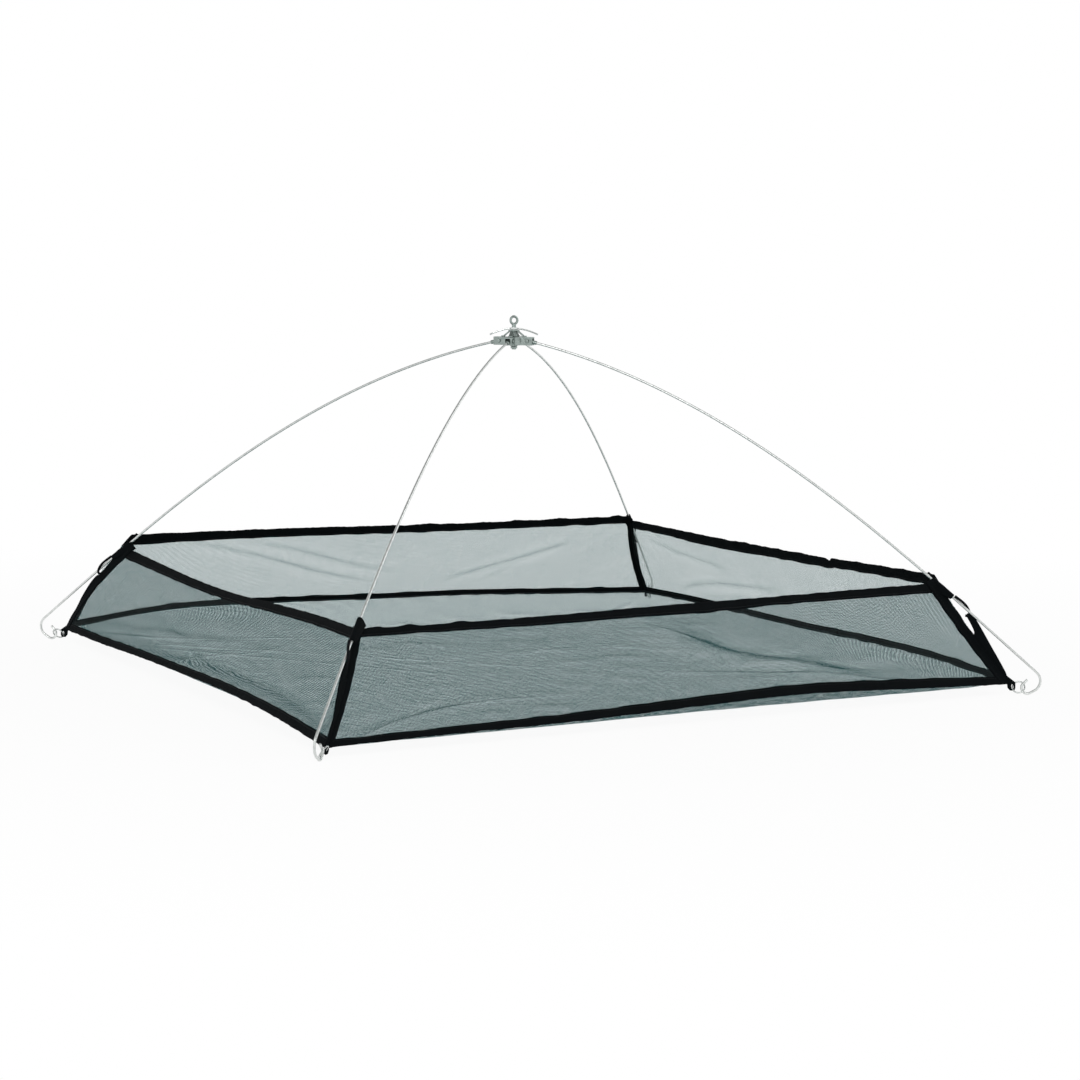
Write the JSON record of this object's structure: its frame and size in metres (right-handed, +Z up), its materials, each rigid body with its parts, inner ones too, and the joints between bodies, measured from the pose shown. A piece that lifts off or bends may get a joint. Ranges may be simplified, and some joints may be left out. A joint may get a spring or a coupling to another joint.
{
  "type": "lift net",
  "caption": "Umbrella lift net: sprung wire arms folding on a steel hub stretch a square net with low walls, hung from an eye by a line",
  "frame": {"origin": "on the floor under the hub, at the middle of the square that the arms span", "axes": "+Z up through the hub and the eye; X and Y along the net's sides; the arms run out along the diagonals; front is -Y"},
  "size_m": [1.064, 1.064, 0.5003],
  "materials": {
    "zinc_steel": "zinc-plated pressed steel, dull grey-green",
    "rivet_steel": "plain steel rivet",
    "bright_zinc": "pale bright zinc",
    "spring_steel": "drawn spring wire, zinc-plated, light grey",
    "ring_steel": "nickel-plated welded ring",
    "tape": "black woven binding tape, folded and stitched",
    "cord": "black braided cord",
    "netting": "fine dark green-black knotless netting"
  },
  "bodies": {
    "hub": {"hub_crown": "zinc_steel", "eye_bolt": "zinc_steel", "hub_spacer": "zinc_steel", "base_washer": "zinc_steel", "base_nut": "zinc_steel", "rivet_front_right": "rivet_steel", "rivet_back_right": "rivet_steel", "rivet_back_left": "rivet_steel", "rivet_front_left": "rivet_steel"},
    "lock_cap": {"lock_cap": "zinc_steel"},
    "wing_nut": {"wing_nut": "bright_zinc"},
    "arm_front_right": {"arm_front_right": "spring_steel", "knuckle_front_right": "zinc_steel", "corner_tape_front_right": "tape", "cord_loop_front_right": "cord"},
    "arm_back_right": {"arm_back_right": "spring_steel", "knuckle_back_right": "zinc_steel", "corner_tape_back_right": "tape", "cord_loop_back_right": "cord"},
    "arm_back_left": {"arm_back_left": "spring_steel", "knuckle_back_left": "zinc_steel", "corner_tape_back_left": "tape", "cord_loop_back_left": "cord"},
    "arm_front_left": {"arm_front_left": "spring_steel", "knuckle_front_left": "zinc_steel", "corner_tape_front_left": "tape", "cord_loop_front_left": "cord"},
    "side_front": {"wall_net_front": "netting", "top_tape_front": "tape", "base_tape_front": "tape"},
    "floor_front": {"floor_net_front": "netting"},
    "side_right": {"wall_net_right": "netting", "top_tape_right": "tape", "base_tape_right": "tape"},
    "floor_right": {"floor_net_right": "netting"},
    "side_back": {"wall_net_back": "netting", "top_tape_back": "tape", "base_tape_back": "tape"},
    "floor_back": {"floor_net_back": "netting"},
    "side_left": {"wall_net_left": "netting", "top_tape_left": "tape", "base_tape_left": "tape"},
    "floor_left": {"floor_net_left": "netting"},
    "ring_front_right": {"ring_front_right": "ring_steel"},
    "ring_back_right": {"ring_back_right": "ring_steel"},
    "ring_back_left": {"ring_back_left": "ring_steel"},
    "ring_front_left": {"ring_front_left": "ring_steel"}
  },
  "joints": [
    {"name": "fold_front_right", "type": "hinge", "parent": "hub", "child": "arm_front_right", "pos_m": [0.01485, -0.01485, 0.46441], "axis": [0.7071, 0.7071, 0], "range_deg": [0, 50]},
    {"name": "fold_back_right", "type": "hinge", "parent": "hub", "child": "arm_back_right", "pos_m": [0.01485, 0.01485, 0.46441], "axis": [-0.7071, 0.7071, 0], "range_deg": [0, 50]},
    {"name": "fold_back_left", "type": "hinge", "parent": "hub", "child": "arm_back_left", "pos_m": [-0.01485, 0.01485, 0.46441], "axis": [-0.7071, -0.7071, 0], "range_deg": [0, 50]},
    {"name": "fold_front_left", "type": "hinge", "parent": "hub", "child": "arm_front_left", "pos_m": [-0.01485, -0.01485, 0.46441], "axis": [0.7071, -0.7071, 0], "range_deg": [0, 50]},
    {"name": "fold_side_front", "type": "hinge", "parent": "hub", "child": "side_front", "pos_m": [0, 0.154, 0.32901], "axis": [1, 0, 0], "range_deg": [0, 46.2], "deforming": ["wall_net_front", "top_tape_front", "base_tape_front"]},
    {"name": "fold_floor_front", "type": "hinge", "parent": "side_front", "child": "floor_front", "pos_m": [0, -0.5, 0.01701], "axis": [-1, 0, 0], "range_deg": [0, 127.7], "deforming": ["floor_net_front"]},
    {"name": "fold_side_right", "type": "hinge", "parent": "hub", "child": "side_right", "pos_m": [-0.154, 0, 0.32901], "axis": [0, 1, 0], "range_deg": [0, 46.2], "deforming": ["wall_net_right", "top_tape_right", "base_tape_right"]},
    {"name": "fold_floor_right", "type": "hinge", "parent": "side_right", "child": "floor_right", "pos_m": [0.5, 0, 0.01701], "axis": [0, -1, 0], "range_deg": [0, 127.7], "deforming": ["floor_net_right"]},
    {"name": "fold_side_back", "type": "hinge", "parent": "hub", "child": "side_back", "pos_m": [0, -0.154, 0.32901], "axis": [-1, 0, 0], "range_deg": [0, 46.2], "deforming": ["wall_net_back", "top_tape_back", "base_tape_back"]},
    {"name": "fold_floor_back", "type": "hinge", "parent": "side_back", "child": "floor_back", "pos_m": [0, 0.5, 0.01701], "axis": [1, 0, 0], "range_deg": [0, 127.7], "deforming": ["floor_net_back"]},
    {"name": "fold_side_left", "type": "hinge", "parent": "hub", "child": "side_left", "pos_m": [0.154, 0, 0.32901], "axis": [0, -1, 0], "range_deg": [0, 46.2], "deforming": ["wall_net_left", "top_tape_left", "base_tape_left"]},
    {"name": "fold_floor_left", "type": "hinge", "parent": "side_left", "child": "floor_left", "pos_m": [-0.5, 0, 0.01701], "axis": [0, 1, 0], "range_deg": [0, 127.7], "deforming": ["floor_net_left"]},
    {"name": "ring_swing_front_right", "type": "hinge", "parent": "arm_front_right", "child": "ring_front_right", "pos_m": [0.50975, -0.50975, 0.00981], "axis": [0.7071, -0.7071, 0], "range_deg": [-110, 2]},
    {"name": "ring_swing_back_right", "type": "hinge", "parent": "arm_back_right", "child": "ring_back_right", "pos_m": [0.50975, 0.50975, 0.00981], "axis": [0.7071, 0.7071, 0], "range_deg": [-110, 2]},
    {"name": "ring_swing_back_left", "type": "hinge", "parent": "arm_back_left", "child": "ring_back_left", "pos_m": [-0.50975, 0.50975, 0.00981], "axis": [-0.7071, 0.7071, 0], "range_deg": [-110, 2]},
    {"name": "ring_swing_front_left", "type": "hinge", "parent": "arm_front_left", "child": "ring_front_left", "pos_m": [-0.50975, -0.50975, 0.00981], "axis": [-0.7071, -0.7071, 0], "range_deg": [-110, 2]},
    {"name": "lock_cap_lift", "type": "slide", "parent": "hub", "child": "lock_cap", "axis": [0, 0, 1], "range_m": [0, 0.0028]},
    {"name": "wing_nut_turn", "type": "hinge", "parent": "lock_cap", "child": "wing_nut", "pos_m": [0, 0, 0.4816], "axis": [0, 0, 1], "continuous": true}
  ],
  "couplings": [
    {"joint": "fold_back_right", "follows": "fold_front_right", "ratio": 1},
    {"joint": "fold_back_left", "follows": "fold_front_right", "ratio": 1},
    {"joint": "fold_front_left", "follows": "fold_front_right", "ratio": 1},
    {"joint": "fold_side_front", "follows": "fold_front_right", "ratio": 0.9232},
    {"joint": "fold_floor_front", "follows": "fold_front_right", "ratio": 2.5534},
    {"joint": "fold_side_right", "follows": "fold_front_right", "ratio": 0.9232},
    {"joint": "fold_floor_right", "follows": "fold_front_right", "ratio": 2.5534},
    {"joint": "fold_side_back", "follows": "fold_front_right", "ratio": 0.9232},
    {"joint": "fold_floor_back", "follows": "fold_front_right", "ratio": 2.5534},
    {"joint": "fold_side_left", "follows": "fold_front_right", "ratio": 0.9232},
    {"joint": "fold_floor_left", "follows": "fold_front_right", "ratio": 2.5534}
  ]
}
